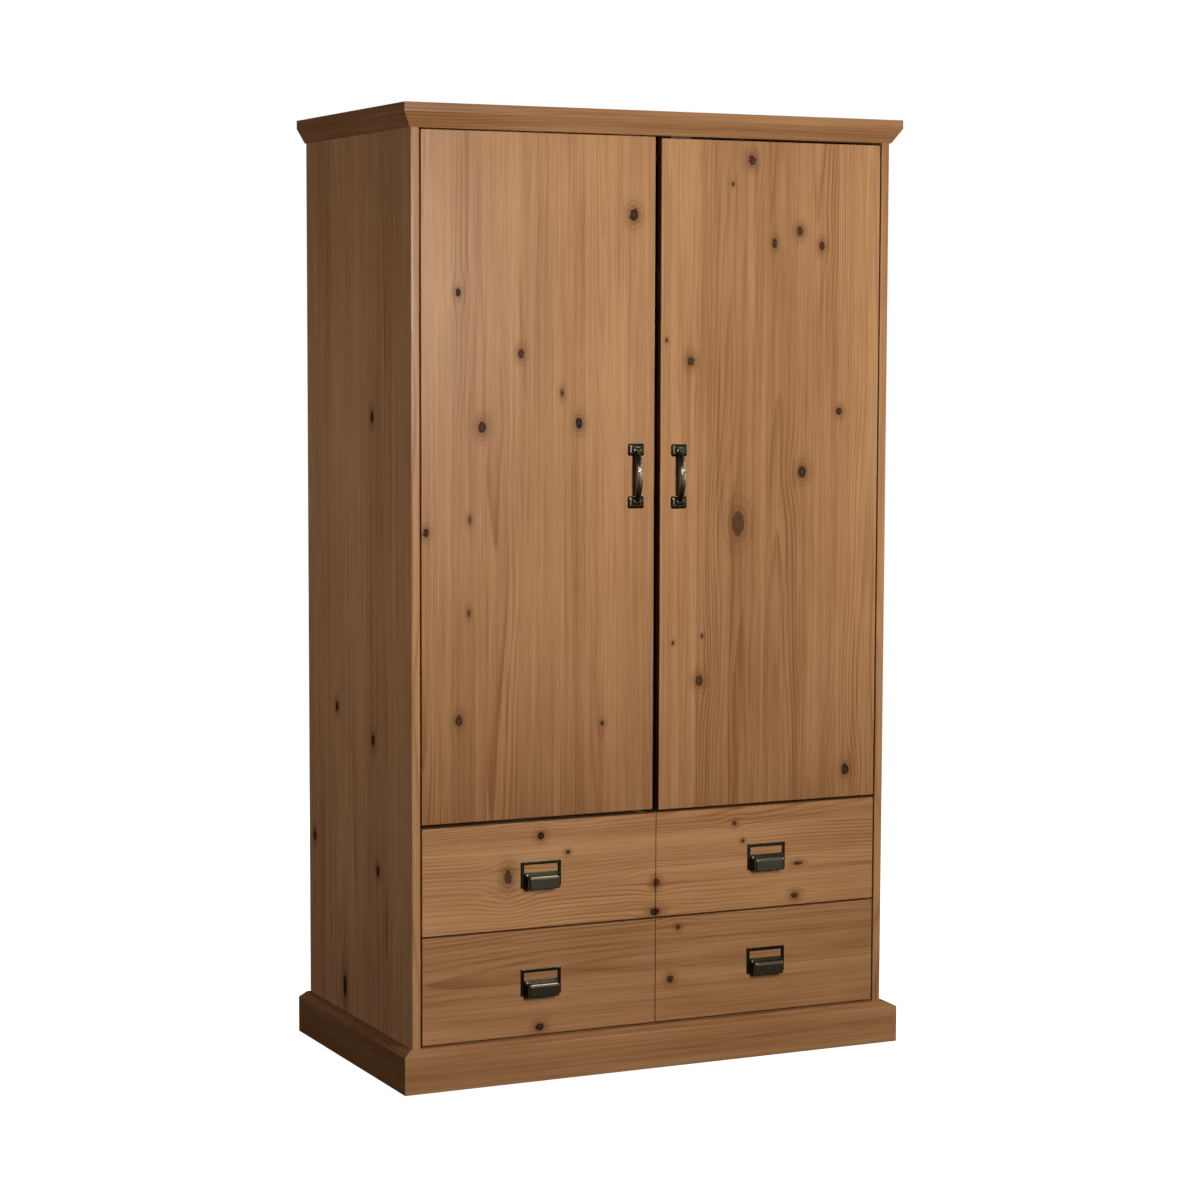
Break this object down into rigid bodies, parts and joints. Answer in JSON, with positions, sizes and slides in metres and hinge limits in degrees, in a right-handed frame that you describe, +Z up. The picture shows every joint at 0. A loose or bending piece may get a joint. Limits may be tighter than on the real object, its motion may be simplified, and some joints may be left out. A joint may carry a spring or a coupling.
{
  "type": "armoire",
  "caption": "Free-standing pine armoire with hinged doors over roller drawers, a plinth and a moulded cornice.",
  "frame": {"origin": "centre of the footprint, on the floor", "axes": "+Z up, the doors and drawers face -Y, +X to the right of someone who faces them"},
  "size_m": [1.144, 0.627, 1.98],
  "materials": {
    "stained_pine": "honey-brown stain under satin lacquer",
    "inner_pine": "thinly lacquered pine",
    "thin_board": "thin plywood, sealed",
    "beech": "raw",
    "dark_bronze": "antique dark bronze, worn on the edges",
    "chromed_rail": "polished",
    "runner_enamel": "baked enamel",
    "plated_steel": "nickel-plated",
    "nylon": "moulded"
  },
  "bodies": {
    "carcass": {"side_panel_left": "stained_pine", "side_panel_right": "stained_pine", "top_board": "stained_pine", "top_front_rail": "inner_pine", "top_back_rail": "inner_pine", "cornice_front": "stained_pine", "cornice_left": "stained_pine", "cornice_right": "stained_pine", "wardrobe_floor": "inner_pine", "drawer_rail": "inner_pine", "base_panel": "inner_pine", "base_rails": "inner_pine", "plinth_front": "stained_pine", "plinth_left": "stained_pine", "plinth_right": "stained_pine", "floor_glides": "nylon", "back_panel_left": "thin_board", "back_panel_right": "thin_board", "back_joint_strip": "thin_board", "hat_shelf": "inner_pine", "hanging_rail": "chromed_rail", "rail_sockets": "chromed_rail", "hinge_plates": "plated_steel", "hinge_arms": "plated_steel", "door_catches": "nylon", "runner_tracks": "runner_enamel", "dowels": "beech", "carcass_screws": "plated_steel"},
    "left_door": {"left_door_panel": "stained_pine", "left_door_battens": "inner_pine", "left_door_handle": "dark_bronze", "left_door_hinge_cups": "plated_steel", "left_door_hinge_pins": "plated_steel", "left_door_strike_plate": "plated_steel", "left_door_screws": "plated_steel"},
    "right_door": {"right_door_panel": "stained_pine", "right_door_battens": "inner_pine", "right_door_handle": "dark_bronze", "right_door_hinge_cups": "plated_steel", "right_door_hinge_pins": "plated_steel", "right_door_strike_plate": "plated_steel", "right_door_screws": "plated_steel"},
    "lower_drawer": {"lower_drawer_front": "stained_pine", "lower_drawer_sides": "inner_pine", "lower_drawer_back": "inner_pine", "lower_drawer_bottom": "thin_board", "lower_drawer_pulls": "dark_bronze", "lower_drawer_runner_profiles": "runner_enamel", "lower_drawer_screws": "plated_steel"},
    "upper_drawer": {"upper_drawer_front": "stained_pine", "upper_drawer_sides": "inner_pine", "upper_drawer_back": "inner_pine", "upper_drawer_bottom": "thin_board", "upper_drawer_pulls": "dark_bronze", "upper_drawer_runner_profiles": "runner_enamel", "upper_drawer_screws": "plated_steel"},
    "lower_front_rollers": {"lower_drawer_front_rollers": "nylon"},
    "lower_rear_rollers": {"lower_drawer_rear_rollers": "nylon"},
    "upper_front_rollers": {"upper_drawer_front_rollers": "nylon"},
    "upper_rear_rollers": {"upper_drawer_rear_rollers": "nylon"}
  },
  "joints": [
    {"name": "left_door_swing", "type": "hinge", "parent": "carcass", "child": "left_door", "pos_m": [-0.5065, -0.2764, 1.237], "axis": [0, 0, -1], "range_deg": [0, 105]},
    {"name": "right_door_swing", "type": "hinge", "parent": "carcass", "child": "right_door", "pos_m": [0.5065, -0.2764, 1.2345], "axis": [0, 0, 1], "range_deg": [0, 105]},
    {"name": "upper_drawer_slide", "type": "slide", "parent": "carcass", "child": "upper_drawer", "axis": [0, -1, 0], "range_m": [0, 0.37]},
    {"name": "lower_drawer_slide", "type": "slide", "parent": "carcass", "child": "lower_drawer", "axis": [0, -1, 0], "range_m": [0, 0.37]},
    {"name": "upper_front_roller_spin", "type": "hinge", "parent": "carcass", "child": "upper_front_rollers", "pos_m": [0, -0.2385, 0.359], "axis": [1, 0, 0], "continuous": true},
    {"name": "upper_rear_roller_spin", "type": "hinge", "parent": "upper_drawer", "child": "upper_rear_rollers", "pos_m": [0, 0.2065, 0.359], "axis": [1, 0, 0], "continuous": true},
    {"name": "lower_front_roller_spin", "type": "hinge", "parent": "carcass", "child": "lower_front_rollers", "pos_m": [0, -0.2385, 0.136], "axis": [1, 0, 0], "continuous": true},
    {"name": "lower_rear_roller_spin", "type": "hinge", "parent": "lower_drawer", "child": "lower_rear_rollers", "pos_m": [0, 0.2065, 0.136], "axis": [1, 0, 0], "continuous": true}
  ],
  "couplings": [
    {"joint": "upper_front_roller_spin", "follows": "upper_drawer_slide", "rad_per_m": 125},
    {"joint": "upper_rear_roller_spin", "follows": "upper_drawer_slide", "rad_per_m": 125},
    {"joint": "lower_front_roller_spin", "follows": "lower_drawer_slide", "rad_per_m": 125},
    {"joint": "lower_rear_roller_spin", "follows": "lower_drawer_slide", "rad_per_m": 125}
  ]
}
